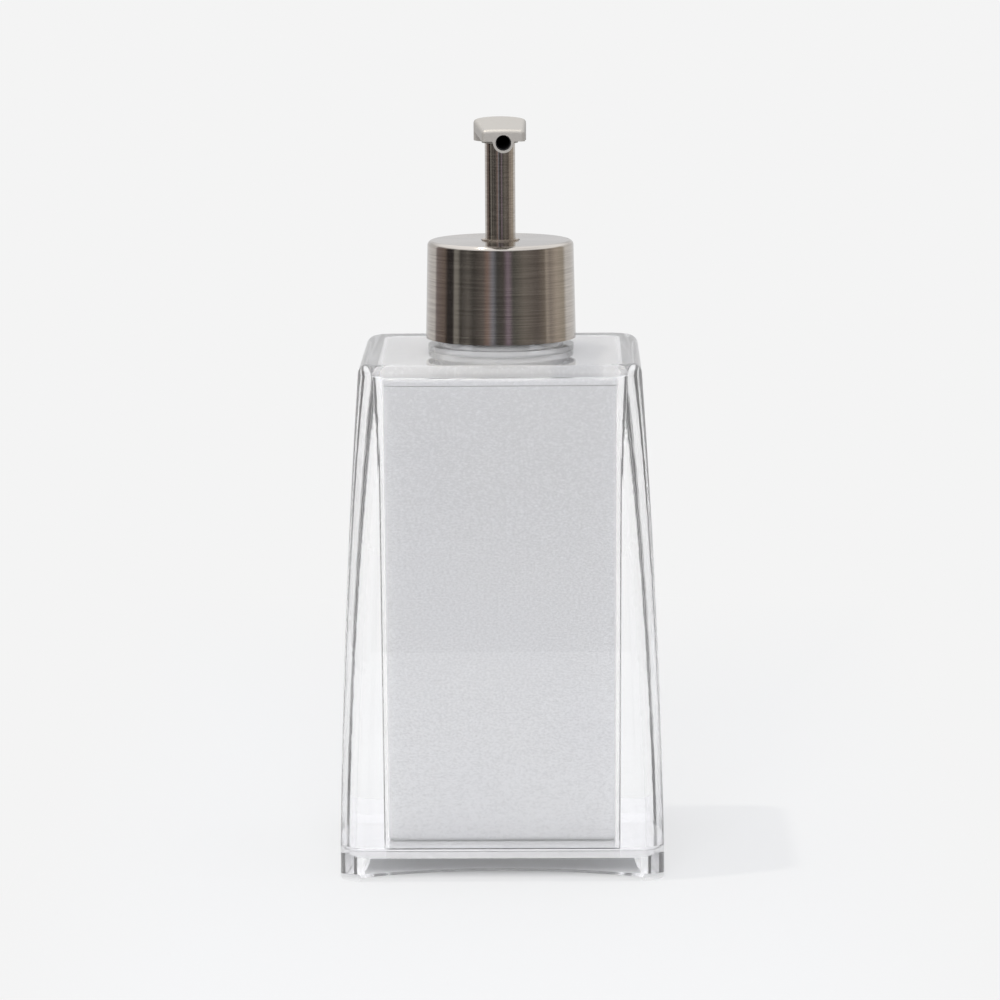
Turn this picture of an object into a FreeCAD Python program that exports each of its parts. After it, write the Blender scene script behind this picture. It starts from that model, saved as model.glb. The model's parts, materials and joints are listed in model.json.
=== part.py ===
import FreeCAD, Part
import math
import os

import Sketcher

# Soap pump dispenser: a tapered clear block with a silver liner inside it, and a metal pump screwed
# on its neck.  Millimetres, +Z up, origin at the centre of the underside, spout towards -Y.

DIMENSIONS = [
    # the clear block and its base plate
    ("base_width", 76.0),
    ("top_width", 65.7),
    ("side_bulge", 0.7),
    ("corner_radius", 6.2),
    ("body_height", 120.8),
    ("top_edge_radius", 2.5),
    ("plate_thickness", 8.0),
    ("seam_edge_radius", 0.3),
    ("weld_depth", 0.01),
    ("skirt_wall", 4.4),
    ("recess_depth", 4.9),
    ("recess_corner", 4.0),
    ("arch_rise", 2.6),
    ("arch_end_rise", 1.0),
    ("arch_half_span", 33.0),
    # the cavity and the liner that fills it
    ("cavity_width_base", 55.6),
    ("cavity_width_top", 57.0),
    ("cavity_corner", 3.2),
    ("cavity_top", 117.5),
    ("liner_gap", 0.15),
    ("liner_wall", 1.2),
    ("liner_top", 115.6),
    ("lid_thickness", 1.75),
    ("lid_edge_radius", 1.0),
    ("lid_rim_depth", 1.5),
    ("lid_rim_wall", 1.5),
    # the neck that passes through the roof of the block
    ("shank_diameter", 26.0),
    ("shank_bottom", 112.0),
    ("flange_diameter", 34.5),
    ("flange_top", 122.1),
    ("shoulder_diameter", 29.9),
    ("shoulder_top", 123.9),
    ("neck_root_diameter", 25.4),
    ("neck_bore", 22.4),
    ("neck_top", 141.0),
    ("thread_pitch", 4.23),
    ("thread_depth", 1.1),
    ("thread_foot", 2.2),
    ("thread_crest", 0.9),
    ("thread_turns", 1.5),
    ("neck_thread_start", 130.0),
    # the collar and the threaded closure inside it
    ("collar_bottom", 123.7),
    ("collar_top", 146.8),
    ("collar_diameter_top", 34.6),
    ("collar_diameter_bottom", 35.6),
    ("collar_wall", 0.5),
    ("collar_edge_radius", 1.2),
    ("collar_hole", 9.2),
    ("closure_bottom", 124.4),
    ("closure_top", 146.2),
    ("closure_roof", 144.5),
    ("closure_root_diameter", 28.6),
    ("closure_skirt_diameter", 31.4),
    ("closure_diameter", 33.4),
    ("rib_width", 1.2),
    ("rib_count", 24),
    # the pump
    ("gasket_thickness", 1.0),
    ("pump_flange_diameter", 25.2),
    ("pump_flange_thickness", 1.2),
    ("barrel_diameter", 13.6),
    ("barrel_bore", 11.0),
    ("barrel_bottom", 98.0),
    ("barrel_floor", 100.0),
    ("valve_body_diameter", 10.0),
    ("valve_body_bottom", 93.0),
    ("valve_chamber_radius", 3.0),
    ("valve_seat_radius", 1.4),
    ("valve_seat_top", 96.0),
    ("ball_radius", 2.25),
    ("ball_height", 96.21),
    ("tube_socket_diameter", 8.8),
    ("tube_socket_bottom", 83.0),
    ("tube_diameter", 6.0),
    ("tube_bore", 4.4),
    ("tube_end", 12.5),
    ("tube_cut_angle", 30.0),
    ("retainer_thickness", 1.2),
    ("spigot_radius", 3.2),
    ("spigot_height", 1.6),
    ("flow_hole_radius", 1.6),
    ("spring_radius", 4.2),
    ("spring_wire", 0.8),
    ("spring_turns", 7.5),
    ("spring_top", 124.6),
    ("follower_radius", 4.9),
    ("follower_top", 126.2),
    ("chaplet_bottom", 134.2),
    ("chaplet_flange_diameter", 21.0),
    ("chaplet_flange_top", 144.4),
    ("chaplet_boss_diameter", 8.8),
    ("chaplet_boss_top", 147.1),
    # the moving stem and the piston on it
    ("running_clearance", 0.05),
    ("plug_bottom", 126.3),
    ("plug_top", 129.4),
    ("plug_radius", 3.9),
    ("stem_foot_radius", 2.5),
    ("stem_shoulder", 133.85),
    ("stem_bore_radius", 1.5),
    ("outlet_port_radius", 0.7),
    ("outlet_port_height", 130.6),
    ("piston_bottom", 129.45),
    ("piston_top", 133.0),
    ("piston_lip", 1.0),
    ("piston_waist_radius", 4.6),
    ("sleeve_diameter", 7.2),
    ("sleeve_wall", 0.5),
    ("sleeve_bottom", 141.0),
    ("stem_top", 174.2),
    # the head
    ("parked_turn", 2.0),
    ("head_top", 175.65),
    ("head_crown", 0.3),
    ("hub_radius", 6.2),
    ("hub_bottom", 170.5),
    ("boss_radius", 4.3),
    ("boss_bottom", 169.9),
    ("head_reach", 34.0),
    ("nose_width", 9.9),
    ("nose_corner", 1.0),
    ("spout_underside", 172.8),
    ("spout_axis", 172.5),
    ("keel_radius", 2.35),
    ("keel_width", 5.7),
    ("head_edge_radius", 0.95),
    ("nozzle_radius", 1.8),
    ("nozzle_lip", 1.2),
    ("spout_tube_radius", 1.95),
    ("spout_tube_bore_radius", 1.55),
]

doc = FreeCAD.newDocument("soap_pump_dispenser")
sheet = doc.addObject("Spreadsheet::Sheet", "dims")
for row, (alias, value) in enumerate(DIMENSIONS, start=1):
    sheet.set("A%d" % row, alias)
    sheet.set("B%d" % row, str(value))
    sheet.setAlias("B%d" % row, alias)
doc.recompute()


def size(alias):
    """The value of one cell of the sheet."""
    return float(sheet.get(alias))


def bind(thing, **expressions):
    """Bind properties of a document object to expressions over the sheet's cells."""
    for name, expression in expressions.items():
        thing.setExpression(name.replace("__", "."), expression)


def offset_from(alias, extra=0.0):
    """A height of the sheet, raised a little."""
    return "dims.%s + %g" % (alias, extra)


# ---------------------------------------------------------------- turned pieces

def stage(kind, bottom, top, radius, top_radius=None):
    """One cylinder or cone of a turned piece, its ends and radii given as expressions."""
    if top_radius is None:
        solid = doc.addObject("Part::Cylinder", kind)
        bind(solid, Radius=radius)
    else:
        solid = doc.addObject("Part::Cone", kind)
        bind(solid, Radius1=radius, Radius2=top_radius)
    bind(solid, Height="(%s) - (%s)" % (top, bottom), Placement__Base__z=bottom)
    return solid


def fused(pieces, name):
    """One object made of the pieces together."""
    if len(pieces) == 1:
        return pieces[0]
    union = doc.addObject("Part::MultiFuse", name)
    union.Shapes = pieces
    union.Refine = True
    return union


def cut(label, base, tools):
    """The base less the tools, labelled as a finished piece."""
    result = doc.addObject("Part::Cut", label)
    result.Label = label
    result.Base = base
    result.Tool = fused(tools, label + "_tools")
    result.Refine = True
    return result


def turned(label, outside, inside, extra_tools=()):
    """A piece turned about the pump's axis: stages outside, less the stages inside."""
    solids = [stage(label + "_outside", *row) for row in outside]
    hollows = [stage(label + "_inside", *row) for row in inside]
    return cut(label, fused(solids, label + "_blank"), hollows + list(extra_tools))


# ---------------------------------------------------------------- bodies with sketches

def origin_plane(body, role):
    """One of a body's own origin planes, such as XY_Plane."""
    for feature in body.Origin.OriginFeatures:
        if feature.Role == role:
            return feature
    raise ValueError(role)


def new_body(label):
    body = doc.addObject("PartDesign::Body", label)
    body.Label = label
    return body


def new_sketch(body, name, role, height=None):
    """A sketch on one of the body's origin planes, at a height given as an expression."""
    sketch = body.newObject("Sketcher::SketchObject", name)
    sketch.AttachmentSupport = [(origin_plane(body, role), "")]
    sketch.MapMode = "FlatFace"
    if height is not None:
        bind(sketch, AttachmentOffset__Base__z=height)
    return sketch


def constrain(sketch, name, kind, *arguments, expression):
    """Add a dimension to a sketch and bind it to the sheet."""
    sketch.addConstraint(Sketcher.Constraint(kind, *arguments))
    index = sketch.ConstraintCount - 1
    sketch.renameConstraint(index, name)
    sketch.setExpression("Constraints." + name, expression)


def arc(centre_x, centre_y, radius, start_degrees, end_degrees):
    circle = Part.Circle(FreeCAD.Vector(centre_x, centre_y, 0), FreeCAD.Vector(0, 0, 1), radius)
    return Part.ArcOfCircle(circle, math.radians(start_degrees), math.radians(end_degrees))


def line(x1, y1, x2, y2):
    return Part.LineSegment(FreeCAD.Vector(x1, y1, 0), FreeCAD.Vector(x2, y2, 0))


def rounded_square(body, name, height, width, corner):
    """A square with rounded corners, centred on the axis; all three sizes are expressions."""
    sketch = new_sketch(body, name, "XY_Plane", height)
    half = 30.0
    flat = 26.0
    radius = half - flat
    sketch.addGeometry([
        line(-flat, -half, flat, -half),
        arc(flat, -flat, radius, 270, 360),
        line(half, -flat, half, flat),
        arc(flat, flat, radius, 0, 90),
        line(flat, half, -flat, half),
        arc(-flat, flat, radius, 90, 180),
        line(-half, flat, -half, -flat),
        arc(-flat, -flat, radius, 180, 270),
    ], False)
    for index in range(8):
        sketch.addConstraint(Sketcher.Constraint("Tangent", index, 2, (index + 1) % 8, 1))
    for index, direction in ((0, "Horizontal"), (2, "Vertical"), (4, "Horizontal"), (6, "Vertical")):
        sketch.addConstraint(Sketcher.Constraint(direction, index))
    for index in (1, 3, 5):
        sketch.addConstraint(Sketcher.Constraint("Equal", index, index + 2))
    sketch.addConstraint(Sketcher.Constraint("Equal", 0, 2))
    sketch.addConstraint(Sketcher.Constraint("Symmetric", 1, 3, 5, 3, -1, 1))
    constrain(sketch, "width", "DistanceX", 6, 1, 2, 1, 2 * half, expression=width)
    constrain(sketch, "corner", "Radius", 1, radius, expression=corner)
    return sketch


def circle_sketch(body, name, height, radius):
    """A circle on the pump's axis."""
    sketch = new_sketch(body, name, "XY_Plane", height)
    sketch.addGeometry(Part.Circle(FreeCAD.Vector(0, 0, 0), FreeCAD.Vector(0, 0, 1), 5.0), False)
    sketch.addConstraint(Sketcher.Constraint("Coincident", 0, 3, -1, 1))
    constrain(sketch, "radius", "Radius", 0, 5.0, expression=radius)
    return sketch


def feature(body, kind, name, **properties):
    """A PartDesign feature with its properties set, added to the body."""
    item = body.newObject("PartDesign::" + kind, name)
    for key, value in properties.items():
        setattr(item, key, value)
    return item


def pad(body, name, sketch, length, reverse=False):
    item = feature(body, "Pad", name, Profile=sketch, Reversed=reverse)
    bind(item, Length=length)
    return item


def pocket(body, name, sketch, length, reverse=False):
    """A pocket that is checked to remove material."""
    doc.recompute()
    before = body.Shape.Volume
    item = feature(body, "Pocket", name, Profile=sketch, Reversed=reverse)
    bind(item, Length=length)
    doc.recompute()
    if body.Shape.Volume > before - 1e-3:
        raise ValueError(name + " removes nothing")
    return item


def widening(item):
    """Give a pad or pocket the slight upward widening of the cavity."""
    bind(item, TaperAngle="atan((dims.cavity_width_top - dims.cavity_width_base) / 2"
                          " / (dims.cavity_top - dims.plate_thickness))")
    return item


def edges_where(shape, test):
    """Names of the shape's edges that pass a test."""
    return ["Edge%d" % (i + 1) for i, edge in enumerate(shape.Edges) if test(edge)]


def lies_at(height, within=1e-3):
    """A test for edges that lie wholly at one height."""
    def test(edge):
        box = edge.BoundBox
        return abs(box.ZMin - height) < within and abs(box.ZMax - height) < within
    return test


def round_off(body, name, test, radius):
    """Fillet the edges of the body's last feature that pass the test."""
    doc.recompute()
    last = body.Tip
    names = edges_where(last.Shape, test)
    item = feature(body, "Fillet", name, Base=(last, names))
    bind(item, Radius=radius)
    doc.recompute()
    return item


# ---------------------------------------------------------------- the clear block

def side_profile(body, name, role, framed):
    """Outline of the block seen from one side, its sides arcs; framed, it stands inside a rectangle."""
    sketch = new_sketch(body, name, role)
    foot = size("base_width") / 2
    top = size("top_width") / 2
    low = size("plate_thickness")
    high = size("body_height")
    slant = math.hypot(foot - top, high - low)
    bend = slant * slant / (8 * size("side_bulge")) + size("side_bulge") / 2
    lean = math.atan2(foot - top, high - low)
    swing = math.asin(slant / (2 * bend))
    centre_x = foot - bend * math.cos(lean - swing)
    centre_z = low - bend * math.sin(lean - swing)
    sketch.addGeometry([
        line(-foot, low, foot, low),
        arc(centre_x, centre_z, bend, math.degrees(lean - swing), math.degrees(lean + swing)),
        line(top, high, -top, high),
        arc(-centre_x, centre_z, bend, 180 - math.degrees(lean + swing),
            180 - math.degrees(lean - swing)),
    ], False)
    for index in range(4):
        sketch.addConstraint(Sketcher.Constraint("Coincident", index, 2, (index + 1) % 4, 1))
    sketch.addConstraint(Sketcher.Constraint("Symmetric", 0, 1, 0, 2, -2))
    sketch.addConstraint(Sketcher.Constraint("Symmetric", 2, 1, 2, 2, -2))
    sketch.addConstraint(Sketcher.Constraint("Equal", 1, 3))
    constrain(sketch, "foot", "DistanceX", 0, 1, 0, 2, 2 * foot, expression="dims.base_width")
    constrain(sketch, "top", "DistanceX", 2, 2, 2, 1, 2 * top, expression="dims.top_width")
    constrain(sketch, "low", "DistanceY", -1, 1, 0, 1, low, expression="dims.plate_thickness")
    constrain(sketch, "high", "DistanceY", -1, 1, 2, 1, high, expression="dims.body_height")
    rise = "(dims.body_height - dims.plate_thickness)"
    inset = "(dims.base_width - dims.top_width)"
    constrain(sketch, "bend", "Radius", 1, bend,
              expression="(%s * %s + %s * %s / 4) / (8 * dims.side_bulge) + dims.side_bulge / 2"
                         % (rise, rise, inset, inset))
    if framed:
        margin = 10.0
        left = -foot - margin
        bottom = low - margin
        right = foot + margin
        ceiling = high + margin
        corners = [(left, bottom), (right, bottom), (right, ceiling), (left, ceiling)]
        for index, corner in enumerate(corners):
            following = corners[(index + 1) % 4]
            sketch.addGeometry(line(*corner, *following), False)
            sketch.addConstraint(Sketcher.Constraint("Block", 4 + index))
    return sketch


def upright_corners(edge):
    """A test for the four edges where the block's sides meet."""
    box = edge.BoundBox
    return box.ZLength > 0.9 * (size("body_height") - size("plate_thickness"))


def make_outer_shell():
    """Tapered clear block whose sides bow out, open below, with a neck hole in its roof."""
    body = new_body("outer_shell")
    front = side_profile(body, "front_profile", "XZ_Plane", False)
    block = pad(body, "shell_block", front, "dims.base_width")
    block.Midplane = True
    side = side_profile(body, "side_profile", "YZ_Plane", True)
    doc.recompute()
    before = body.Shape.Volume
    trim = feature(body, "Pocket", "shell_sides", Profile=side, Midplane=True)
    bind(trim, Length="2 * dims.base_width")
    doc.recompute()
    if body.Shape.Volume > before - 1:
        raise ValueError("the block's other two sides are not trimmed")
    round_off(body, "shell_corners", upright_corners, "dims.corner_radius")
    round_off(body, "shell_top_edge", lies_at(size("body_height")), "dims.top_edge_radius")
    cavity = rounded_square(body, "cavity_foot", "dims.plate_thickness", "dims.cavity_width_base",
                            "dims.cavity_corner")
    widening(pocket(body, "shell_cavity", cavity, "dims.cavity_top - dims.plate_thickness",
                    reverse=True))
    hole = circle_sketch(body, "shell_neck_circle", offset_from("body_height", 1.0),
                         "dims.shank_diameter / 2 + dims.running_clearance")
    pocket(body, "shell_neck_hole", hole, "dims.body_height - dims.cavity_top + 2")
    return body


def arch_tool(name, base, axis, angle):
    """A flat-lying cylinder, cropped between the feet, whose crown arches two opposite sides of the base."""
    drum = doc.addObject("Part::Cylinder", name + "_drum")
    drum.Placement = FreeCAD.Placement(base, FreeCAD.Rotation(axis, angle))
    fall = "(dims.arch_rise - dims.arch_end_rise)"
    radius = "(dims.arch_half_span * dims.arch_half_span + %s * %s) / (2 * %s)" % (fall, fall, fall)
    bind(drum, Radius=radius, Height="2 * dims.base_width",
         Placement__Base__z="dims.arch_rise - %s" % radius)
    crop = doc.addObject("Part::Box", name + "_crop")
    if base.x == 0:
        bind(crop, Length="2 * dims.arch_half_span", Width="2 * dims.base_width")
        bind(crop, Placement__Base__x="-dims.arch_half_span", Placement__Base__y="-dims.base_width")
    else:
        bind(crop, Length="2 * dims.base_width", Width="2 * dims.arch_half_span")
        bind(crop, Placement__Base__x="-dims.base_width", Placement__Base__y="-dims.arch_half_span")
    bind(crop, Height="2 * dims.plate_thickness", Placement__Base__z="-dims.plate_thickness")
    arch = doc.addObject("Part::Common", name)
    arch.Base = drum
    arch.Tool = crop
    return arch


def make_base_plate():
    """Clear base: a plate on a skirt whose lower edge arches, so that only the corners touch."""
    body = new_body("base_plate_blank")
    outline = rounded_square(body, "plate_outline", "0", "dims.base_width", "dims.corner_radius")
    pad(body, "plate_pad", outline, "dims.plate_thickness + dims.weld_depth")
    round_off(body, "plate_seam_edge", lies_at(size("plate_thickness") + size("weld_depth")),
              "dims.seam_edge_radius")
    recess = rounded_square(body, "plate_recess", "0", "dims.base_width - 2 * dims.skirt_wall",
                            "dims.recess_corner")
    pocket(body, "plate_hollow", recess, "dims.recess_depth", reverse=True)
    reach = size("base_width")
    front_arch = arch_tool("front_arch", FreeCAD.Vector(0, -reach, 0), FreeCAD.Vector(1, 0, 0), -90)
    side_arch = arch_tool("side_arch", FreeCAD.Vector(-reach, 0, 0), FreeCAD.Vector(0, 1, 0), 90)
    return cut("base_plate", body, [front_arch, side_arch])


def make_liner_box():
    """Thin open box, painted silver, that holds the soap."""
    body = new_body("liner_box")
    foot = "dims.plate_thickness + dims.liner_gap"
    width = "dims.cavity_width_base - 2 * dims.liner_gap"
    corner = "dims.cavity_corner - dims.liner_gap"
    outside = rounded_square(body, "liner_foot", foot, width, corner)
    widening(pad(body, "liner_block", outside, "dims.liner_top - (%s)" % foot))
    round_off(body, "liner_foot_edge", lies_at(size("plate_thickness") + size("liner_gap")),
              "dims.lid_edge_radius")
    inside = rounded_square(body, "hollow_foot", foot + " + dims.liner_wall",
                            width + " - 2 * dims.liner_wall", corner + " - dims.liner_wall")
    widening(pocket(body, "liner_hollow", inside, "dims.liner_top - dims.plate_thickness",
                    reverse=True))
    return body


def make_liner_lid():
    """Lid of the liner: a plate with a locating rim below it and a hole for the neck."""
    body = new_body("liner_lid")
    spread = "(dims.cavity_width_top - dims.cavity_width_base) / 2"
    width = "dims.cavity_width_top - 2 * dims.liner_gap"
    corner = "dims.cavity_corner + %s - dims.liner_gap" % spread
    rim_width = width + " - 2 * dims.liner_wall - 2 * dims.liner_gap"
    rim_corner = corner + " - dims.liner_wall - dims.liner_gap"
    plate = rounded_square(body, "lid_plate", "dims.liner_top", width, corner)
    pad(body, "lid_pad", plate, "dims.lid_thickness")
    round_off(body, "lid_edge", lies_at(size("liner_top") + size("lid_thickness")),
              "dims.lid_edge_radius")
    rim = rounded_square(body, "lid_rim", "dims.liner_top - dims.lid_rim_depth", rim_width, rim_corner)
    pad(body, "lid_rim_pad", rim, "dims.lid_rim_depth")
    hollow = rounded_square(body, "lid_rim_hollow", "dims.liner_top",
                            rim_width + " - 2 * dims.lid_rim_wall", rim_corner + " - dims.lid_rim_wall")
    pocket(body, "lid_rim_pocket", hollow, "dims.lid_rim_depth + 1")
    hole = circle_sketch(body, "lid_neck_circle", "dims.liner_top + dims.lid_thickness + 1",
                         "dims.shank_diameter / 2 + dims.running_clearance")
    pocket(body, "lid_neck_hole", hole, "dims.lid_thickness + 2")
    return body


# ---------------------------------------------------------------- threads

def thread_ridge(root_radius, outward, start_height):
    """A trapezoid swept along a helix: a ridge that stands out of, or in from, a threaded wall."""
    pitch = size("thread_pitch")
    depth = size("thread_depth") * outward
    buried = -0.2 * outward
    foot = size("thread_foot") / 2
    crest = size("thread_crest") / 2
    corners = [(buried, -foot), (depth, -crest), (depth, crest), (buried, foot)]
    points = [FreeCAD.Vector(root_radius + reach, 0, start_height + rise) for reach, rise in corners]
    profile = Part.makePolygon(points + points[:1])
    helix = Part.makeHelix(pitch, pitch * size("thread_turns"), root_radius)
    helix.translate(FreeCAD.Vector(0, 0, start_height))
    sweep = Part.BRepOffsetAPI.MakePipeShell(helix)
    sweep.setFrenetMode(True)
    sweep.add(profile)
    sweep.build()
    sweep.makeSolid()
    return sweep.shape()


def threaded(label, blank, ridge):
    """A turned blank joined with its thread."""
    doc.recompute()
    piece = doc.addObject("Part::Feature", label)
    piece.Label = label
    piece.Shape = blank.Shape.fuse(ridge).removeSplitter()
    return piece


def make_threaded_neck():
    """Clear neck: a shank through the roof, a flange that sits on it, and the outside thread."""
    blank = turned(
        "threaded_neck_blank",
        outside=[
            ("dims.shank_bottom", "dims.body_height", "dims.shank_diameter / 2"),
            ("dims.body_height", "dims.flange_top", "dims.flange_diameter / 2"),
            ("dims.flange_top", "dims.shoulder_top", "dims.shoulder_diameter / 2"),
            ("dims.shoulder_top", "dims.neck_top", "dims.neck_root_diameter / 2"),
        ],
        inside=[("dims.shank_bottom - 1", "dims.neck_top + 1", "dims.neck_bore / 2")])
    ridge = thread_ridge(size("neck_root_diameter") / 2, 1, size("neck_thread_start"))
    return threaded("threaded_neck", blank, ridge)


def make_closure_cap():
    """Plastic closure with the inside thread, a roof that clamps the pump, and ribs for the shell."""
    blank = turned(
        "closure_blank",
        outside=[
            ("dims.closure_bottom", "dims.closure_top", "dims.closure_skirt_diameter / 2"),
            ("dims.closure_roof", "dims.closure_top", "dims.closure_diameter / 2"),
        ],
        inside=[
            ("dims.closure_bottom - 1", "dims.closure_roof", "dims.closure_root_diameter / 2"),
            ("dims.closure_roof - 1", "dims.closure_top + 1", "dims.collar_hole / 2"),
        ])
    doc.recompute()
    inner = size("closure_skirt_diameter") / 2 - 0.2
    width = size("rib_width")
    tall = size("closure_top") - size("closure_bottom")
    rib = Part.makeBox(size("closure_diameter") / 2 - inner, width, tall,
                       FreeCAD.Vector(inner, -width / 2, size("closure_bottom")))
    count = int(size("rib_count"))
    ribs = []
    for index in range(count):
        turned_rib = rib.copy()
        turned_rib.rotate(FreeCAD.Vector(0, 0, 0), FreeCAD.Vector(0, 0, 1), 360.0 * index / count)
        ribs.append(turned_rib)
    start = size("neck_thread_start") - size("thread_pitch") / 2
    ridge = thread_ridge(size("closure_root_diameter") / 2, -1, start)
    piece = doc.addObject("Part::Feature", "closure_cap")
    piece.Label = "closure_cap"
    piece.Shape = blank.Shape.fuse(ribs + [ridge]).removeSplitter()
    return piece


def make_collar_shell():
    """Spun metal cover of the closure: slightly tapered, with a rounded top edge."""
    body = new_body("collar_shell")
    outside = feature(body, "AdditiveCone", "collar_outside")
    outside.AttachmentSupport = [(origin_plane(body, "XY_Plane"), "")]
    outside.MapMode = "FlatFace"
    bind(outside, Radius1="dims.collar_diameter_bottom / 2", Radius2="dims.collar_diameter_top / 2",
         Height="dims.collar_top - dims.collar_bottom", AttachmentOffset__Base__z="dims.collar_bottom")
    round_off(body, "collar_top_edge", lies_at(size("collar_top")), "dims.collar_edge_radius")
    inside = feature(body, "SubtractiveCone", "collar_inside")
    inside.AttachmentSupport = [(origin_plane(body, "XY_Plane"), "")]
    inside.MapMode = "FlatFace"
    bind(inside, Radius1="dims.collar_diameter_bottom / 2 - dims.collar_wall",
         Radius2="dims.collar_diameter_top / 2 - dims.collar_wall",
         Height="dims.collar_top - dims.collar_bottom - dims.collar_wall",
         AttachmentOffset__Base__z="dims.collar_bottom")
    hole = circle_sketch(body, "collar_hole_circle", offset_from("collar_top", 1.0),
                         "dims.collar_hole / 2")
    pocket(body, "collar_stem_hole", hole, "dims.collar_wall + 3")
    return body


# ---------------------------------------------------------------- the pump

def make_pump_housing():
    """Barrel of the pump: flange on the neck, bore for the piston, inlet valve seat, tube socket."""
    seat_bottom = "dims.valve_seat_top - dims.valve_chamber_radius + dims.valve_seat_radius"
    return turned(
        "pump_housing",
        outside=[
            ("dims.tube_socket_bottom", "dims.valve_body_bottom", "dims.tube_socket_diameter / 2"),
            ("dims.valve_body_bottom", "dims.barrel_bottom", "dims.valve_body_diameter / 2"),
            ("dims.barrel_bottom", "dims.neck_top + dims.gasket_thickness", "dims.barrel_diameter / 2"),
            ("dims.neck_top + dims.gasket_thickness",
             "dims.neck_top + dims.gasket_thickness + dims.pump_flange_thickness",
             "dims.pump_flange_diameter / 2"),
        ],
        inside=[
            ("dims.tube_socket_bottom - 1", "dims.valve_body_bottom",
             "dims.tube_diameter / 2 + dims.running_clearance"),
            ("dims.valve_body_bottom - 1", seat_bottom, "dims.valve_seat_radius"),
            (seat_bottom, "dims.valve_seat_top", "dims.valve_seat_radius", "dims.valve_chamber_radius"),
            ("dims.valve_seat_top", "dims.barrel_floor", "dims.valve_chamber_radius"),
            ("dims.barrel_floor", "dims.neck_top + 5", "dims.barrel_bore / 2"),
        ])


def make_neck_gasket():
    """Washer that seals the pump's flange on the neck."""
    return turned(
        "neck_gasket",
        outside=[("dims.neck_top", "dims.neck_top + dims.gasket_thickness",
                  "dims.pump_flange_diameter / 2")],
        inside=[("dims.neck_top - 1", "dims.neck_top + 2",
                 "dims.barrel_diameter / 2 + 2 * dims.running_clearance")])


def make_chaplet():
    """Guide pressed into the top of the barrel; its boss shows as a ring around the stem."""
    flange_bottom = "dims.neck_top + dims.gasket_thickness + dims.pump_flange_thickness"
    return turned(
        "chaplet",
        outside=[
            ("dims.chaplet_bottom", flange_bottom, "dims.barrel_bore / 2 - dims.running_clearance"),
            (flange_bottom, "dims.chaplet_flange_top", "dims.chaplet_flange_diameter / 2"),
            ("dims.chaplet_flange_top", "dims.chaplet_boss_top", "dims.chaplet_boss_diameter / 2"),
        ],
        inside=[("dims.chaplet_bottom - 1", "dims.chaplet_boss_top + 1",
                 "dims.sleeve_diameter / 2 + dims.running_clearance")])


def make_ball_retainer():
    """Ring on the barrel's floor that keeps the ball in and centres the spring."""
    top = "dims.barrel_floor + dims.retainer_thickness"
    return turned(
        "ball_retainer",
        outside=[
            ("dims.barrel_floor", top, "dims.barrel_bore / 2 - 2 * dims.running_clearance"),
            (top, top + " + dims.spigot_height", "dims.spigot_radius"),
        ],
        inside=[("dims.barrel_floor - 1", top + " + dims.spigot_height + 1",
                 "dims.flow_hole_radius")])


def make_spring_follower():
    """Cap on the spring's upper end, on which the stem's foot turns."""
    return turned(
        "spring_follower",
        outside=[
            ("dims.spring_top - dims.spigot_height", "dims.spring_top", "dims.spigot_radius"),
            ("dims.spring_top", "dims.follower_top", "dims.follower_radius"),
        ],
        inside=[("dims.spring_top - dims.spigot_height - 1", "dims.follower_top + 1",
                 "dims.flow_hole_radius")])


def make_return_spring():
    """Open coil spring between the retainer and the follower."""
    bottom = "(dims.barrel_floor + dims.retainer_thickness + dims.spring_wire / 2)"
    coil = doc.addObject("Part::Helix", "spring_line")
    bind(coil, Radius="dims.spring_radius", Height="dims.spring_top - dims.spring_wire / 2 - " + bottom,
         Pitch="(dims.spring_top - dims.spring_wire / 2 - %s) / dims.spring_turns" % bottom,
         Placement__Base__z=bottom)
    wire = doc.addObject("Part::Circle", "spring_wire_section")
    wire.Placement.Rotation = FreeCAD.Rotation(FreeCAD.Vector(1, 0, 0), 90)
    bind(wire, Radius="dims.spring_wire / 2", Placement__Base__x="dims.spring_radius",
         Placement__Base__z=bottom)
    spring = doc.addObject("Part::Sweep", "return_spring")
    spring.Label = "return_spring"
    spring.Sections = [wire]
    spring.Spine = (coil, ["Edge1"])
    spring.Solid = True
    spring.Frenet = True
    return spring


def make_inlet_ball():
    """Steel ball of the inlet valve, resting on its seat."""
    ball = doc.addObject("Part::Sphere", "inlet_ball")
    ball.Label = "inlet_ball"
    bind(ball, Radius="dims.ball_radius", Placement__Base__z="dims.ball_height")
    return ball


def make_dip_tube():
    """Straight tube from the socket to just above the liner's floor, its end cut at a slant."""
    slant = doc.addObject("Part::Box", "tube_slant")
    slant.Length = 40
    slant.Width = 20
    slant.Height = 20
    reach = FreeCAD.Vector(-20, -10, -20)
    turn = FreeCAD.Rotation(FreeCAD.Vector(0, 1, 0), size("tube_cut_angle"))
    low_side = size("tube_diameter") / 2 * math.tan(math.radians(size("tube_cut_angle")))
    pivot = FreeCAD.Vector(0, 0, size("tube_end") + low_side)
    slant.Placement = FreeCAD.Placement(pivot, turn) * FreeCAD.Placement(reach, FreeCAD.Rotation())
    return turned(
        "dip_tube",
        outside=[("dims.tube_end - 1", "dims.valve_body_bottom - dims.running_clearance",
                  "dims.tube_diameter / 2")],
        inside=[("dims.tube_end - 2", "dims.valve_body_bottom + 1", "dims.tube_bore / 2")],
        extra_tools=[slant])


# ---------------------------------------------------------------- the stem and the piston

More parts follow.
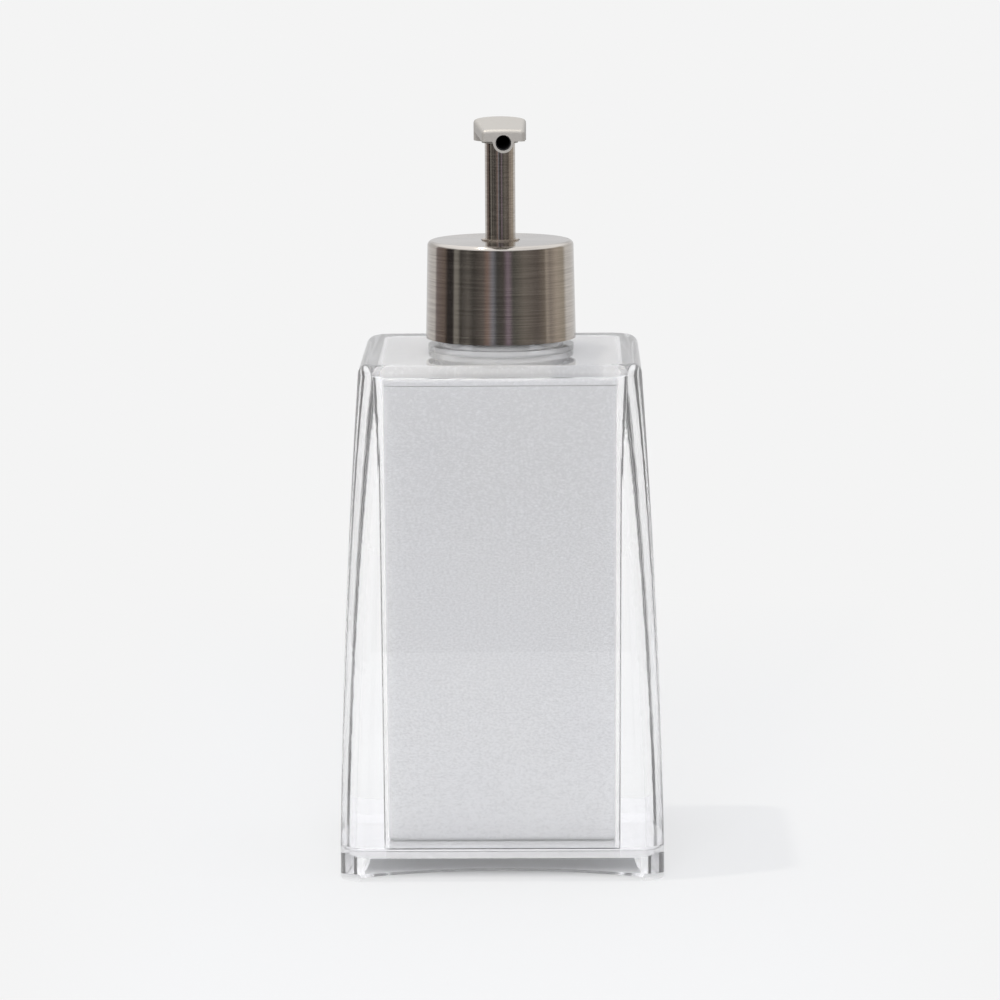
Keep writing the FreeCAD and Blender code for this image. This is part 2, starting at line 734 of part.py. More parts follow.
def make_piston_seal():
    """Piston with a sealing lip at each end, free to slip a little along the stem."""
    lip = "dims.barrel_bore / 2 - dims.running_clearance"
    return turned(
        "piston_seal",
        outside=[
            ("dims.piston_bottom", "dims.piston_bottom + dims.piston_lip", lip),
            ("dims.piston_bottom", "dims.piston_top", "dims.piston_waist_radius"),
            ("dims.piston_top - dims.piston_lip", "dims.piston_top", lip),
        ],
        inside=[("dims.piston_bottom - 1", "dims.piston_top + 1",
                 "dims.stem_foot_radius + dims.running_clearance")])


def make_valve_plug():
    """Plug in the stem's foot; the piston shuts against its rim."""
    shank_top = "dims.outlet_port_height - dims.outlet_port_radius"
    plug = fused([
        stage("plug_shank", "dims.plug_top", shank_top, "dims.stem_bore_radius"),
        stage("plug_rim", "dims.plug_bottom", "dims.plug_top", "dims.plug_radius - 1",
              "dims.plug_radius"),
    ], "valve_plug")
    plug.Label = "valve_plug"
    return plug


def cross_hole(name, radius, height, reach, heading):
    """A level hole from the stem's axis, heading given in degrees from -Y."""
    hole = doc.addObject("Part::Cylinder", name)
    tilt = FreeCAD.Rotation(FreeCAD.Vector(1, 0, 0), 90)
    swing = FreeCAD.Rotation(FreeCAD.Vector(0, 0, 1), heading)
    hole.Placement.Rotation = swing * tilt
    bind(hole, Radius=radius, Height=reach, Placement__Base__z=height)
    return hole


def make_inner_stem():
    """Plastic stem: bore up to the spout, outlet ports at its foot, one port into the spout."""
    port = "dims.outlet_port_radius"
    ports = [cross_hole("outlet_port", port, "dims.outlet_port_height", "10", heading)
             for heading in (90, 270)]
    window = cross_hole("spout_window", "dims.spout_tube_bore_radius", "dims.spout_axis", "10",
                        size("parked_turn"))
    return turned(
        "inner_stem",
        outside=[
            ("dims.plug_top", "dims.stem_shoulder", "dims.stem_foot_radius"),
            ("dims.stem_shoulder", "dims.stem_top",
             "dims.sleeve_diameter / 2 - dims.sleeve_wall - dims.running_clearance"),
        ],
        inside=[("dims.plug_top - 1", "dims.stem_top - 0.8", "dims.stem_bore_radius")],
        extra_tools=ports + [window])


def make_stem_sleeve():
    """Brushed metal tube around the stem."""
    window = cross_hole("sleeve_window", "dims.spout_tube_bore_radius", "dims.spout_axis", "10",
                        size("parked_turn"))
    return turned(
        "stem_sleeve",
        outside=[("dims.sleeve_bottom", "dims.stem_top", "dims.sleeve_diameter / 2")],
        inside=[("dims.sleeve_bottom - 1", "dims.stem_top + 1",
                 "dims.sleeve_diameter / 2 - dims.sleeve_wall")],
        extra_tools=[window])


# ---------------------------------------------------------------- the head

def spout_cylinder(body, kind, name, radius, start, end):
    """A level cylinder along the spout, from start to end measured forward of the stem's axis."""
    item = feature(body, kind, name)
    item.AttachmentSupport = [(origin_plane(body, "XZ_Plane"), "")]
    item.MapMode = "FlatFace"
    bind(item, Radius=radius, Height="(%s) - (%s)" % (end, start),
         AttachmentOffset__Base__y="dims.spout_axis", AttachmentOffset__Base__z=start)
    return item


def make_head_casting():
    """Flat spouted head: a tapering plate, a round hub over the stem, and a keel under the spout."""
    body = new_body("head_casting")
    nose = size("nose_width") / 2
    reach = size("head_reach")
    hub = size("hub_radius")
    spread = math.degrees(math.asin((hub - nose) / math.hypot(reach, hub)))
    plan = new_sketch(body, "head_plan", "XY_Plane", "dims.spout_underside")
    tangent_x = hub * math.cos(math.radians(spread))
    tangent_y = -hub * math.sin(math.radians(spread))
    plan.addGeometry([
        line(-nose, -reach, nose, -reach),
        line(nose, -reach, tangent_x, tangent_y),
        arc(0, 0, hub, -spread, 180 + spread),
        line(-tangent_x, tangent_y, -nose, -reach),
    ], False)
    plan.addConstraint(Sketcher.Constraint("Coincident", 0, 2, 1, 1))
    plan.addConstraint(Sketcher.Constraint("Coincident", 3, 2, 0, 1))
    plan.addConstraint(Sketcher.Constraint("Tangent", 1, 2, 2, 1))
    plan.addConstraint(Sketcher.Constraint("Tangent", 2, 2, 3, 1))
    plan.addConstraint(Sketcher.Constraint("Coincident", 2, 3, -1, 1))
    plan.addConstraint(Sketcher.Constraint("Symmetric", 0, 1, 0, 2, -2))
    constrain(plan, "hub", "Radius", 2, hub, expression="dims.hub_radius")
    constrain(plan, "nose", "DistanceX", 0, 1, 0, 2, 2 * nose, expression="dims.nose_width")
    constrain(plan, "reach", "DistanceY", 0, 1, -1, 1, reach, expression="dims.head_reach")
    pad(body, "head_plate", plan, "dims.head_top - dims.spout_underside")
    hub_circle = circle_sketch(body, "hub_circle", "dims.hub_bottom", "dims.hub_radius")
    pad(body, "head_hub", hub_circle, "dims.head_top - dims.hub_bottom - 1")
    boss_circle = circle_sketch(body, "boss_circle", "dims.boss_bottom", "dims.boss_radius")
    pad(body, "head_boss", boss_circle, "1.5")

    keel = new_sketch(body, "keel_section", "XZ_Plane")
    low = size("spout_axis")
    high = size("spout_underside") + 0.5
    radius = size("keel_radius")
    half = size("keel_width") / 2
    keel.addGeometry([
        arc(0, low, radius, 180, 360),
        line(radius, low, half, high),
        line(half, high, -half, high),
        line(-half, high, -radius, low),
    ], False)
    for index in range(4):
        keel.addConstraint(Sketcher.Constraint("Coincident", index, 2, (index + 1) % 4, 1))
    keel.addConstraint(Sketcher.Constraint("Symmetric", 0, 1, 0, 2, -2))
    keel.addConstraint(Sketcher.Constraint("Symmetric", 1, 2, 2, 2, -2))
    keel.addConstraint(Sketcher.Constraint("Horizontal", 0, 1, 0, 3))
    constrain(keel, "radius", "Radius", 0, radius, expression="dims.keel_radius")
    constrain(keel, "axis", "DistanceY", -1, 1, 0, 3, low, expression="dims.spout_axis")
    constrain(keel, "width", "DistanceX", 2, 2, 2, 1, 2 * half, expression="dims.keel_width")
    constrain(keel, "top", "DistanceY", -1, 1, 1, 2, high, expression=offset_from("spout_underside", 0.5))
    pad(body, "head_keel", keel, "dims.head_reach")

    crown = new_sketch(body, "crown_section", "XZ_Plane", "-10")
    top = size("head_top")
    drop = size("head_crown")
    bend = (hub * hub + drop * drop) / (2 * drop)
    swing = math.degrees(math.asin(hub / bend))
    low = top - drop
    crown.addGeometry([
        arc(0, top - bend, bend, 90 - swing, 90 + swing),
        line(-hub, low, -hub, top + 2),
        line(-hub, top + 2, hub, top + 2),
        line(hub, top + 2, hub, low),
    ], False)
    for index in range(4):
        crown.addConstraint(Sketcher.Constraint("Coincident", index, 2, (index + 1) % 4, 1))
    crown.addConstraint(Sketcher.Constraint("Symmetric", 0, 1, 0, 2, -2))
    crown.addConstraint(Sketcher.Constraint("Vertical", 1))
    crown.addConstraint(Sketcher.Constraint("Horizontal", 2))
    crown.addConstraint(Sketcher.Constraint("Vertical", 3))
    constrain(crown, "width", "DistanceX", 0, 2, 0, 1, 2 * hub, expression="2 * dims.hub_radius")
    constrain(crown, "side", "DistanceY", -1, 1, 0, 1, low, expression="dims.head_top - dims.head_crown")
    constrain(crown, "bend", "Radius", 0, bend,
              expression="(dims.hub_radius * dims.hub_radius + dims.head_crown * dims.head_crown)"
                         " / (2 * dims.head_crown)")
    constrain(crown, "clear", "DistanceY", 0, 2, 1, 2, 2 + drop, expression="2 + dims.head_crown")
    pocket(body, "head_crown_cut", crown, "dims.head_reach + 20", reverse=True)
    return body


def finish_head_casting(body):
    """Round the head's edges, then bore it for the stem and the spout."""
    reach = size("head_reach")
    nose = size("nose_width") / 2

    def nose_corners(edge):
        box = edge.BoundBox
        upright = box.ZLength > 1.5 and box.XLength < 0.01 and box.YLength < 0.01
        return upright and abs(box.YMin + reach) < 0.01 and abs(abs(box.XMin) - nose) < 0.01

    round_off(body, "nose_corners", nose_corners, "dims.nose_corner")
    crown_low = size("head_top") - size("head_crown") - 0.05

    def top_edges(edge):
        return edge.BoundBox.ZMin > crown_low

    round_off(body, "head_top_edges", top_edges, "dims.head_edge_radius")
    socket = circle_sketch(body, "stem_socket_circle", "dims.stem_top + dims.running_clearance",
                           "dims.sleeve_diameter / 2 + 0.5 * dims.running_clearance")
    pocket(body, "stem_socket", socket, "dims.stem_top - dims.boss_bottom + 1")
    spout_cylinder(body, "SubtractiveCylinder", "spout_bore",
                   "dims.spout_tube_radius + dims.running_clearance", "0",
                   "dims.head_reach - dims.nozzle_lip")
    spout_cylinder(body, "SubtractiveCylinder", "nozzle_bore", "dims.nozzle_radius",
                   "dims.head_reach - dims.nozzle_lip - 0.5", "dims.head_reach + 1")
    body.Placement.Rotation = FreeCAD.Rotation(FreeCAD.Vector(0, 0, 1), 0.0)
    bind(body, Placement__Rotation__Angle="dims.parked_turn")
    return body


def make_spout_tube():
    """Plastic tube that lines the spout, from the stem to the nozzle's lip."""
    start = "dims.sleeve_diameter / 2 + dims.running_clearance"
    length = "dims.head_reach - dims.nozzle_lip - (%s)" % start
    outside = cross_hole("spout_tube_outside", "dims.spout_tube_radius", "dims.spout_axis", length,
                         size("parked_turn"))
    inside = cross_hole("spout_tube_inside", "dims.spout_tube_bore_radius", "dims.spout_axis",
                        "dims.head_reach", size("parked_turn"))
    heading = math.radians(size("parked_turn"))
    for solid, back in ((outside, "(%s)" % start), (inside, "0")):
        bind(solid, Placement__Base__x="%s * %.9f" % (back, math.sin(heading)),
             Placement__Base__y="%s * %.9f" % (back, -math.cos(heading)))
    return cut("spout_tube", outside, [inside])


# ---------------------------------------------------------------- build, check and write

def main():
    head = make_head_casting()
    pieces = [
        make_outer_shell(),
        make_base_plate(),
        make_liner_box(),
        make_liner_lid(),
        make_threaded_neck(),
        make_neck_gasket(),
        make_pump_housing(),
        make_chaplet(),
        make_ball_retainer(),
        make_inlet_ball(),
        make_return_spring(),
        make_dip_tube(),
        make_collar_shell(),
        make_closure_cap(),
        make_spring_follower(),
        make_piston_seal(),
        make_valve_plug(),
        make_inner_stem(),
        make_stem_sleeve(),
        finish_head_casting(head),
        make_spout_tube(),
    ]
    doc.recompute()
    for item in doc.Objects:
        if "Invalid" in item.State or "Error" in item.State:
            raise ValueError("%s failed: %s" % (item.Name, item.State))
    for piece in pieces:
        if piece.Shape.isNull() or not piece.Shape.isValid():
            raise ValueError(piece.Label + " has no valid shape")
        if len(piece.Shape.Solids) != 1:
            raise ValueError("%s is %d solids" % (piece.Label, len(piece.Shape.Solids)))
    os.makedirs("parts", exist_ok=True)
    for piece in pieces:
        piece.Shape.exportStep("parts/%s.step" % piece.Label)
        box = piece.Shape.BoundBox
        print("%-16s %9.1f mm3  z %7.2f to %7.2f  wide %6.2f" % (
            piece.Label, piece.Shape.Volume, box.ZMin, box.ZMax, box.XLength))


main()
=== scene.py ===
"""Soap pump dispenser: a clear tapered block with a silver liner, a metal collar and a push pump."""

import json
import math

import bpy
from mathutils import Matrix, Vector

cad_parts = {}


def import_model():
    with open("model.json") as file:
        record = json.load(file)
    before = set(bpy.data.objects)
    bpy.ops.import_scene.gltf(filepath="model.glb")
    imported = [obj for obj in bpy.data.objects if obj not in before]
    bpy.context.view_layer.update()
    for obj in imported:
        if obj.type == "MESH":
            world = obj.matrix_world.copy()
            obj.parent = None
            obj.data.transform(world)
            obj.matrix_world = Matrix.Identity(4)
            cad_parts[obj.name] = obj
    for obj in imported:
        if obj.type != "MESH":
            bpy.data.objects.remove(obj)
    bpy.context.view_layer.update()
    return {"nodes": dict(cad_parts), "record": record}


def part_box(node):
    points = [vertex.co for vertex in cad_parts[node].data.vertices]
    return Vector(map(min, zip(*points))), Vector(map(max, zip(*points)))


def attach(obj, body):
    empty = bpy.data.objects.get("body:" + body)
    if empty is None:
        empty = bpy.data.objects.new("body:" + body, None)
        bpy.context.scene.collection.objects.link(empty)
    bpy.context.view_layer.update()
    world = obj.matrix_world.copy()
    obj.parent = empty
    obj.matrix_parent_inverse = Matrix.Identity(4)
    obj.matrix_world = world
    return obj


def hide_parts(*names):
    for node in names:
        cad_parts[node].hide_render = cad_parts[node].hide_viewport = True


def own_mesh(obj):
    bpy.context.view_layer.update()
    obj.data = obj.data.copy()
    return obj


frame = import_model()
NODES = frame["nodes"]

# ---------------------------------------------------------------- view
CAMERA_AT = (0.0129, -1.1259, 0.2614)
LOOK_AT = (-0.000455, 0.0, 0.08437)
ROLL_DEG = 0.33
SENSOR_MM = 36.0
LENS_MM = 171.7
CLIP_NEAR = 0.05
CLIP_FAR = 60.0


# ---------------------------------------------------------------- node helpers
class Graph:
    """A node tree, with short ways to add to it."""

    def __init__(self, tree):
        self.tree = tree

    def node(self, kind, **settings):
        made = self.tree.nodes.new(kind)
        for key, value in settings.items():
            setattr(made, key, value)
        return made

    def link(self, source, target):
        self.tree.links.new(source, target)

    def feed(self, value, socket):
        """Link a socket to another one, or set it to a constant."""
        if isinstance(value, bpy.types.NodeSocket):
            self.link(value, socket)
        else:
            socket.default_value = value

    def calc(self, operation, first, second=0.0):
        made = self.node("ShaderNodeMath", operation=operation)
        self.feed(first, made.inputs[0])
        self.feed(second, made.inputs[1])
        return made.outputs["Value"]

    def split(self, vector):
        made = self.node("ShaderNodeSeparateXYZ")
        self.link(vector, made.inputs["Vector"])
        return made.outputs

    def remap(self, source, start, end, low=0.0, high=1.0, interpolation="LINEAR"):
        """Map start..end of the source to low..high."""
        made = self.node("ShaderNodeMapRange", interpolation_type=interpolation)
        self.link(source, made.inputs["Value"])
        made.inputs["From Min"].default_value = start
        made.inputs["From Max"].default_value = end
        made.inputs["To Min"].default_value = low
        made.inputs["To Max"].default_value = high
        return made.outputs["Result"]

    def ramp(self, source, stops):
        """Colour that runs through the stops, each a position and a colour."""
        made = self.node("ShaderNodeValToRGB")
        elements = made.color_ramp.elements
        while len(elements) < len(stops):
            elements.new(0.5)
        for element, (position, colour) in zip(elements, stops):
            element.position = position
            element.color = (*colour, 1.0)
        self.link(source, made.inputs["Fac"])
        return made.outputs["Color"]

    def blend(self, share, first, second):
        made = self.node("ShaderNodeMix", data_type="RGBA")
        self.feed(share, made.inputs["Factor"])
        self.feed(first, made.inputs["A"])
        self.feed(second, made.inputs["B"])
        return made.outputs["Result"]


class Shader(Graph):
    """A material with one Principled shader, and the nodes that drive it."""

    NOISE_LOW = 0.3
    NOISE_HIGH = 0.7
    NOISE_ROUGHNESS = 0.55
    QUARTER_TURN = 0.25

    def __init__(self, name, base, **sockets):
        self.material = bpy.data.materials.new(name)
        self.material.use_nodes = True
        super().__init__(self.material.node_tree)
        self.base = base
        self.bsdf = self.tree.nodes["Principled BSDF"]
        self.bsdf.inputs["Base Color"].default_value = (*base, 1.0)
        for socket, value in sockets.items():
            self.bsdf.inputs[socket.replace("_", " ")].default_value = value
        self.place = self.node("ShaderNodeTexCoord").outputs["Object"]

    def stretched(self, scale):
        """Object coordinates scaled by a different factor along each axis."""
        made = self.node("ShaderNodeMapping")
        made.inputs["Scale"].default_value = scale
        self.link(self.place, made.inputs["Vector"])
        return made.outputs["Vector"]

    def around(self, turns, height):
        """Coordinates that run slowly round the vertical axis and quickly up it."""
        place = self.split(self.place)
        angle = self.calc("ARCTAN2", place["Y"], place["X"])
        joined = self.node("ShaderNodeCombineXYZ")
        self.link(self.calc("MULTIPLY", self.calc("COSINE", angle), turns), joined.inputs["X"])
        self.link(self.calc("MULTIPLY", self.calc("SINE", angle), turns), joined.inputs["Y"])
        self.link(self.calc("MULTIPLY", place["Z"], height), joined.inputs["Z"])
        return joined.outputs["Vector"]

    def noise(self, vector, scale, detail=3.0):
        made = self.node("ShaderNodeTexNoise")
        self.link(vector, made.inputs["Vector"])
        made.inputs["Scale"].default_value = scale
        made.inputs["Detail"].default_value = detail
        made.inputs["Roughness"].default_value = self.NOISE_ROUGHNESS
        return made.outputs["Fac"]

    def tint(self, source, dark):
        """Base colour that runs from dark to the plain base as the source rises."""
        colour = self.ramp(source, ((self.NOISE_LOW, dark), (self.NOISE_HIGH, self.base)))
        self.link(colour, self.bsdf.inputs["Base Color"])

    def rough(self, source, low, high):
        spread = self.remap(source, self.NOISE_LOW, self.NOISE_HIGH, low, high)
        self.link(spread, self.bsdf.inputs["Roughness"])

    def bump(self, source, depth, strength):
        made = self.node("ShaderNodeBump")
        made.inputs["Distance"].default_value = depth
        made.inputs["Strength"].default_value = strength
        self.link(source, made.inputs["Height"])
        self.link(made.outputs["Normal"], self.bsdf.inputs["Normal"])

    def radial(self, amount):
        """Brushing round the vertical axis, with its highlights stretched along the axis."""
        made = self.node("ShaderNodeTangent", direction_type="RADIAL", axis="Z")
        self.link(made.outputs["Tangent"], self.bsdf.inputs["Tangent"])
        self.bsdf.inputs["Anisotropic"].default_value = amount
        self.bsdf.inputs["Anisotropic Rotation"].default_value = self.QUARTER_TURN


def darker(colour, share):
    return tuple(value * share for value in colour)


# ---------------------------------------------------------------- materials
ACRYLIC_IOR = 1.49
# Painted shade on the silver liner: the height above which its colour darkens, and how fast.
LINER_SHADE_MIDDLE = 0.06
LINER_SHADE_RATE = 3.4
TEXTURE_DEPTH = 0.00001


def clear_acrylic():
    made = Shader("clear_acrylic", (0.997, 0.998, 1.0), Transmission_Weight=0.935, IOR=ACRYLIC_IOR)
    haze = made.noise(made.place, scale=45.0)
    made.rough(haze, low=0.0, high=0.02)
    made.tint(haze, dark=(0.99, 0.992, 1.0))
    return made.material


def milky_acrylic():
    made = Shader("milky_acrylic", (0.93, 0.935, 0.945), Transmission_Weight=0.7, IOR=ACRYLIC_IOR)
    haze = made.noise(made.place, scale=160.0)
    made.rough(haze, low=0.05, high=0.12)
    made.tint(haze, dark=darker(made.base, 0.97))
    return made.material


def silver_paint_and_shade():
    """Paint with a fine flake, and painted shade that makes it a little darker towards the top of the
    liner.
    """
    made = Shader("silver_liner", (0.88, 0.885, 0.9), Metallic=0.1)
    flake = made.noise(made.stretched((1.0, 1.0, 1.8)), scale=1500.0)
    # Painted shade: the liner's colour darkens towards its top.
    below = made.calc("SUBTRACT", LINER_SHADE_MIDDLE, made.split(made.place)["Z"])
    fade = made.calc("MULTIPLY", below, LINER_SHADE_RATE)
    made.tint(made.calc("ADD", flake, fade), dark=darker(made.base, 0.75))
    made.rough(flake, low=0.38, high=0.52)
    made.bump(flake, depth=2 * TEXTURE_DEPTH, strength=0.5)
    return made.material


def brushed_nickel():
    made = Shader("brushed_nickel", (0.60, 0.56, 0.515), Metallic=1.0)
    lines = made.noise(made.around(turns=1.2, height=3000.0), scale=1.0, detail=5.0)
    made.tint(lines, dark=darker(made.base, 0.72))
    made.rough(lines, low=0.1, high=0.15)
    made.bump(lines, depth=TEXTURE_DEPTH, strength=0.07)
    made.radial(0.8)
    return made.material


def satin_nickel():
    made = Shader("satin_nickel", (0.37, 0.355, 0.335), Metallic=0.5)
    grain = made.noise(made.place, scale=2600.0)
    made.tint(grain, dark=darker(made.base, 0.93))
    made.rough(grain, low=0.46, high=0.54)
    made.bump(grain, depth=TEXTURE_DEPTH, strength=0.4)
    return made.material


def drawn_wire():
    made = Shader("stainless", (0.6, 0.6, 0.61), Metallic=1.0)
    lines = made.noise(made.stretched((1.0, 1.0, 6.0)), scale=900.0)
    made.tint(lines, dark=darker(made.base, 0.8))
    made.rough(lines, low=0.14, high=0.3)
    return made.material


def moulded(name, base, low, high, **sockets):
    """Moulded plastic with a faint flow pattern, a fine texture, and a roughness from low to high."""
    made = Shader(name, base, **sockets)
    flow = made.noise(made.stretched((1.0, 1.0, 0.35)), scale=420.0)
    fine = made.noise(made.place, scale=2400.0)
    made.tint(flow, dark=darker(base, 0.93))
    made.rough(flow, low, high)
    made.bump(fine, depth=TEXTURE_DEPTH, strength=0.5)
    return made.material


MATERIALS = {
    "clear_acrylic": clear_acrylic(),
    "silver_liner": silver_paint_and_shade(),
    "brushed_nickel": brushed_nickel(),
    "satin_nickel": satin_nickel(),
    "stainless": drawn_wire(),
    "plated_plastic": moulded("plated_plastic", (0.55, 0.49, 0.43), 0.2, 0.3, Metallic=0.9),
    "white_plastic": moulded("white_plastic", (0.88, 0.88, 0.87), 0.34, 0.46),
    "piston_plastic": moulded("piston_plastic", (0.72, 0.75, 0.76), 0.4, 0.55),
    "tube_plastic": moulded("tube_plastic", (0.82, 0.85, 0.87), 0.3, 0.42, Transmission_Weight=0.4),
    "dark_plastic": moulded("dark_plastic", (0.012, 0.012, 0.013), 0.35, 0.5),
    "gasket": moulded("gasket", (0.75, 0.75, 0.73), 0.5, 0.65),
}


def finish_nodes():
    """Give every CAD node the material of its slot, and the neck a milkier acrylic than the block's."""
    for row in frame["record"]["subparts"]:
        mesh = NODES[row["node"]].data
        mesh.materials.clear()
        mesh.materials.append(MATERIALS[row["material_slot"]])
    NODES["threaded_neck"].data.materials[0] = milky_acrylic()


# ---------------------------------------------------------------- bonded lid
LID_LIFT = 0.00016


def bonded_lid():
    """The liner's lid raised by its fitting gap, so that it touches the shell's roof as if bonded to it."""
    source = NODES["liner_lid"]
    mesh = source.data.copy()
    mesh.transform(Matrix.Translation((0.0, 0.0, LID_LIFT)) @ source.matrix_world)
    piece = bpy.data.objects.new("bonded_lid", mesh)
    bpy.context.scene.collection.objects.link(piece)
    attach(piece, "bottle")
    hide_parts("liner_lid")


# ---------------------------------------------------------------- return spring
SPRING_WIRE = 0.0004
SPRING_TURNS = 7.5
SPRING_END_TURNS = 1.0
CLOSED_PITCH = 2.02 * SPRING_WIRE
STEPS_PER_TURN = 36


def spring_height(turn, length):
    """Height of the wire's centre at a turn: closed at both ends and open between them."""
    opening = length - 2 * SPRING_WIRE - 2 * SPRING_END_TURNS * CLOSED_PITCH
    if turn < SPRING_END_TURNS:
        return SPRING_WIRE + turn * CLOSED_PITCH
    if turn > SPRING_TURNS - SPRING_END_TURNS:
        return length - SPRING_WIRE - (SPRING_TURNS - turn) * CLOSED_PITCH
    share = (turn - SPRING_END_TURNS) / (SPRING_TURNS - 2 * SPRING_END_TURNS)
    return SPRING_WIRE + SPRING_END_TURNS * CLOSED_PITCH + share * opening


def spring_mesh(radius, bottom, length):
    """A round wire along the spring's helix."""
    curve = bpy.data.curves.new("spring_wire", "CURVE")
    curve.dimensions = "3D"
    curve.bevel_depth = SPRING_WIRE
    curve.bevel_resolution = 3
    curve.use_fill_caps = True
    steps = int(SPRING_TURNS * STEPS_PER_TURN)
    line = curve.splines.new("POLY")
    line.points.add(steps)
    for index in range(steps + 1):
        turn = SPRING_TURNS * index / steps
        angle = turn * 2 * math.pi
        height = bottom + spring_height(turn, length)
        line.points[index].co = (radius * math.cos(angle), radius * math.sin(angle), height, 1.0)
    shaper = bpy.data.objects.new("spring_shaper", curve)
    bpy.context.scene.collection.objects.link(shaper)
    bpy.context.view_layer.update()
    mesh = bpy.data.meshes.new_from_object(shaper.evaluated_get(bpy.context.evaluated_depsgraph_get()))
    bpy.data.objects.remove(shaper)
    return mesh


def return_spring():
    """The spring between its seat and the follower, drawn as a wire coil at its free length."""
    low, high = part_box("return_spring")
    free = high.z - low.z
    mesh = spring_mesh((high.x - low.x) / 2 - SPRING_WIRE, low.z, free)
    mesh.materials.clear()
    mesh.materials.append(MATERIALS["stainless"])
    for face in mesh.polygons:
        face.use_smooth = True
    spring = bpy.data.objects.new("spring_coil", mesh)
    bpy.context.scene.collection.objects.link(spring)
    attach(spring, "pump")
    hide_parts("return_spring")
    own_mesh(spring)


# ---------------------------------------------------------------- stage, light and camera
FLOOR_RADIUS = 0.55
FLOOR_SIDES = 120
FLOOR_PAINT = (0.468, 0.483, 0.515)
# How strongly the floor glows, by distance from the middle along Y; the glow is all but off under the base,
# a painted shadow there. Along X the distance counts from SIDE_START and SIDE_RATE times over, so that the
# painted shadow spans the base's whole width.
FLOOR_GLOW_AND_PAINTED_SHADOW = ((0.023, 0.02), (0.034, 0.75), (0.16, 0.75), (0.34, 1.0))
SIDE_START = 0.03
SIDE_RATE = 4.0
BACKDROP = (0.905, 0.905, 0.905)


def floor():
    """A pale round table top that glows into the backdrop towards its rim, with its glow turned down under
    the object as a painted shadow, leaving its own paint to take the real light there.
    """
    mesh = bpy.data.meshes.new("floor")
    angles = [math.radians(360 / FLOOR_SIDES * side) for side in range(FLOOR_SIDES)]
    ring = [(FLOOR_RADIUS * math.cos(angle), FLOOR_RADIUS * math.sin(angle), 0) for angle in angles]
    mesh.from_pydata(ring, [], [tuple(range(FLOOR_SIDES))])
    made = bpy.data.objects.new("floor", mesh)
    bpy.context.scene.collection.objects.link(made)
    paint = Shader("floor", FLOOR_PAINT, Roughness=1.0, Specular_IOR_Level=0.0)
    place = paint.split(paint.place)
    # Painted shadow: the glow drops to almost nothing under the base, across its whole width.
    outward = paint.calc("SUBTRACT", paint.calc("ABSOLUTE", place["X"]), SIDE_START)
    sideways = paint.calc("MULTIPLY", outward, SIDE_RATE)
    reach = paint.calc("MAXIMUM", sideways, paint.calc("ABSOLUTE", place["Y"]))
    stops = [(edge / FLOOR_RADIUS, (glow, glow, glow)) for edge, glow in FLOOR_GLOW_AND_PAINTED_SHADOW]
    fade = paint.ramp(paint.calc("DIVIDE", reach, FLOOR_RADIUS), stops)
    lamp = paint.node("ShaderNodeEmission")
    lamp.inputs["Color"].default_value = (*BACKDROP, 1.0)
    mix = paint.node("ShaderNodeMixShader")
    paint.link(fade, mix.inputs["Fac"])
    paint.link(paint.bsdf.outputs["BSDF"], mix.inputs[1])
    paint.link(lamp.outputs["Emission"], mix.inputs[2])
    paint.link(mix.outputs["Shader"], paint.tree.nodes["Material Output"].inputs["Surface"])
    mesh.materials.append(paint.material)


# Tones round the horizon for the metals to reflect, by degrees from straight behind the camera.
HORIZON_TONES = (
    (-180, (0.74, 0.74, 0.75)),
    (-124, (0.74, 0.73, 0.73)),
    (-118, (0.26, 0.22, 0.22)),
    (-98, (0.2, 0.16, 0.14)),
    (-90, (0.035, 0.03, 0.03)),
    (-79, (0.035, 0.03, 0.03)),
    (-76, (0.3, 0.29, 0.27)),
    (-70, (0.28, 0.27, 0.25)),
    (-65, (0.07, 0.065, 0.06)),
    (-52, (0.16, 0.15, 0.14)),
    (-42, (0.07, 0.065, 0.06)),
    (-26, (0.16, 0.14, 0.13)),
    (-20, (0.3, 0.21, 0.18)),
    (-12, (0.28, 0.29, 0.34)),
    (-5, (0.07, 0.07, 0.07)),
    (5, (0.09, 0.08, 0.075)),
    (12, (0.3, 0.24, 0.3)),
    (20, (0.1, 0.1, 0.09)),
    (38, (0.22, 0.2, 0.18)),
    (60, (0.15, 0.13, 0.12)),
    (73, (0.24, 0.21, 0.18)),
    (77, (0.48, 0.43, 0.38)),
    (84, (0.34, 0.3, 0.27)),
    (98, (0.54, 0.48, 0.42)),
    (116, (0.46, 0.42, 0.36)),
    (124, (0.8, 0.79, 0.78)),
    (180, (0.74, 0.74, 0.75)),
)
OVERHEAD = (1.3, 1.31, 1.34)
OVERHEAD_FROM_DEG = 16
OVERHEAD_FULL_DEG = 38
THROUGH_BACK = (1.0, 1.0, 1.03)
THROUGH_FRONT = (1.6, 1.6, 1.64)


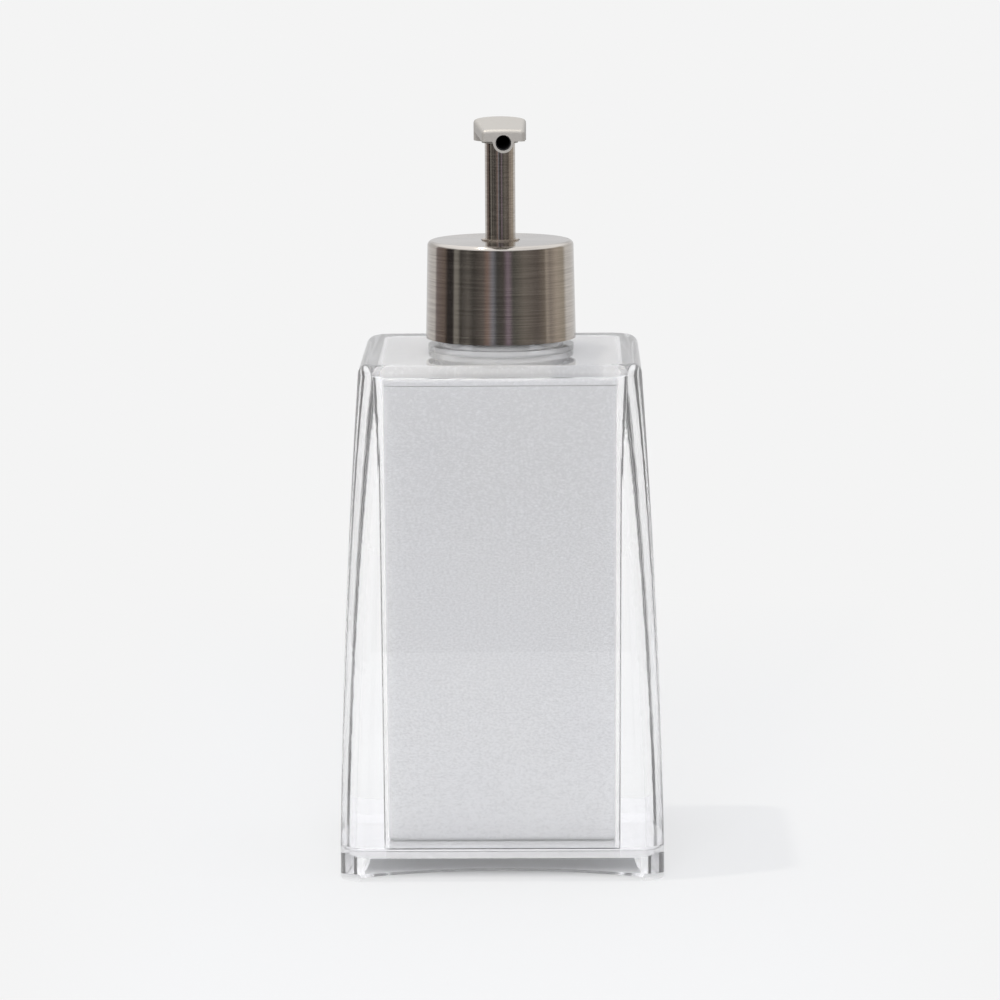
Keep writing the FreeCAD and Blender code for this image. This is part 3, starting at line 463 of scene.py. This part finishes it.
def world():
    """A room with three looks: streaks under a bright ceiling for reflections, an even brighter room for
    light through the clear block, and a plain backdrop for the camera."""
    made = bpy.data.worlds.new("studio")
    bpy.context.scene.world = made
    made.use_nodes = True
    room = Graph(made.node_tree)
    direction = room.split(room.node("ShaderNodeTexCoord").outputs["Generated"])
    forward = room.calc("MULTIPLY", direction["Y"], -1.0)
    angle = room.calc("ARCTAN2", direction["X"], forward)
    stops = [(degrees / 360 + 0.5, colour) for degrees, colour in HORIZON_TONES]
    horizon = room.ramp(room.remap(angle, -math.pi, math.pi), stops)
    high = room.remap(direction["Z"], math.sin(math.radians(OVERHEAD_FROM_DEG)),
                      math.sin(math.radians(OVERHEAD_FULL_DEG)), interpolation="SMOOTHSTEP")
    mirrored = room.blend(high, horizon, (*OVERHEAD, 1.0))
    front = room.remap(forward, 0.0, 1.0, interpolation="SMOOTHSTEP")
    level = room.blend(front, (*THROUGH_BACK, 1.0), (*THROUGH_FRONT, 1.0))
    through = room.blend(high, level, (*THROUGH_FRONT, 1.0))
    ray = room.node("ShaderNodeLightPath").outputs
    unseen = room.blend(ray["Is Transmission Ray"], mirrored, through)
    shown = room.blend(ray["Is Camera Ray"], unseen, (*BACKDROP, 1.0))
    room.link(shown, room.tree.nodes["Background"].inputs["Color"])


def softbox(name, place, target, width, height, power, colour, mirrored):
    """A rectangular light. One that isn't mirrored shows in no reflection and not through the block."""
    light = bpy.data.lights.new(name, "AREA")
    light.shape = "RECTANGLE"
    light.size = width
    light.size_y = height
    light.energy = power
    light.color = colour
    made = bpy.data.objects.new(name, light)
    made.visible_glossy = mirrored
    made.visible_transmission = mirrored
    bpy.context.scene.collection.objects.link(made)
    made.location = place
    made.rotation_euler = (Vector(target) - Vector(place)).to_track_quat("-Z", "Y").to_euler()


def lights():
    softbox("key", place=(-0.55, -0.12, 2.0), target=(0.0, 0.0, 0.06), width=0.06, height=0.06,
            power=21.0, colour=(1.0, 0.94, 0.8), mirrored=True)
    softbox("fill", place=(-0.2, -1.9, 0.75), target=(0.0, 0.0, 0.08), width=1.2, height=0.6,
            power=50.0, colour=(1.0, 1.0, 1.0), mirrored=False)


def camera():
    data = bpy.data.cameras.new("camera")
    data.sensor_width = SENSOR_MM
    data.lens = LENS_MM
    data.clip_start = CLIP_NEAR
    data.clip_end = CLIP_FAR
    made = bpy.data.objects.new("camera", data)
    bpy.context.scene.collection.objects.link(made)
    aim = (Vector(LOOK_AT) - Vector(CAMERA_AT)).to_track_quat("-Z", "Y").to_matrix()
    turned = aim @ Matrix.Rotation(math.radians(-ROLL_DEG), 3, "Z")
    made.matrix_world = Matrix.Translation(CAMERA_AT) @ turned.to_4x4()
    bpy.context.scene.camera = made
    bpy.context.scene.view_settings.view_transform = "Standard"


finish_nodes()
bonded_lid()
return_spring()
floor()
world()
lights()
camera()
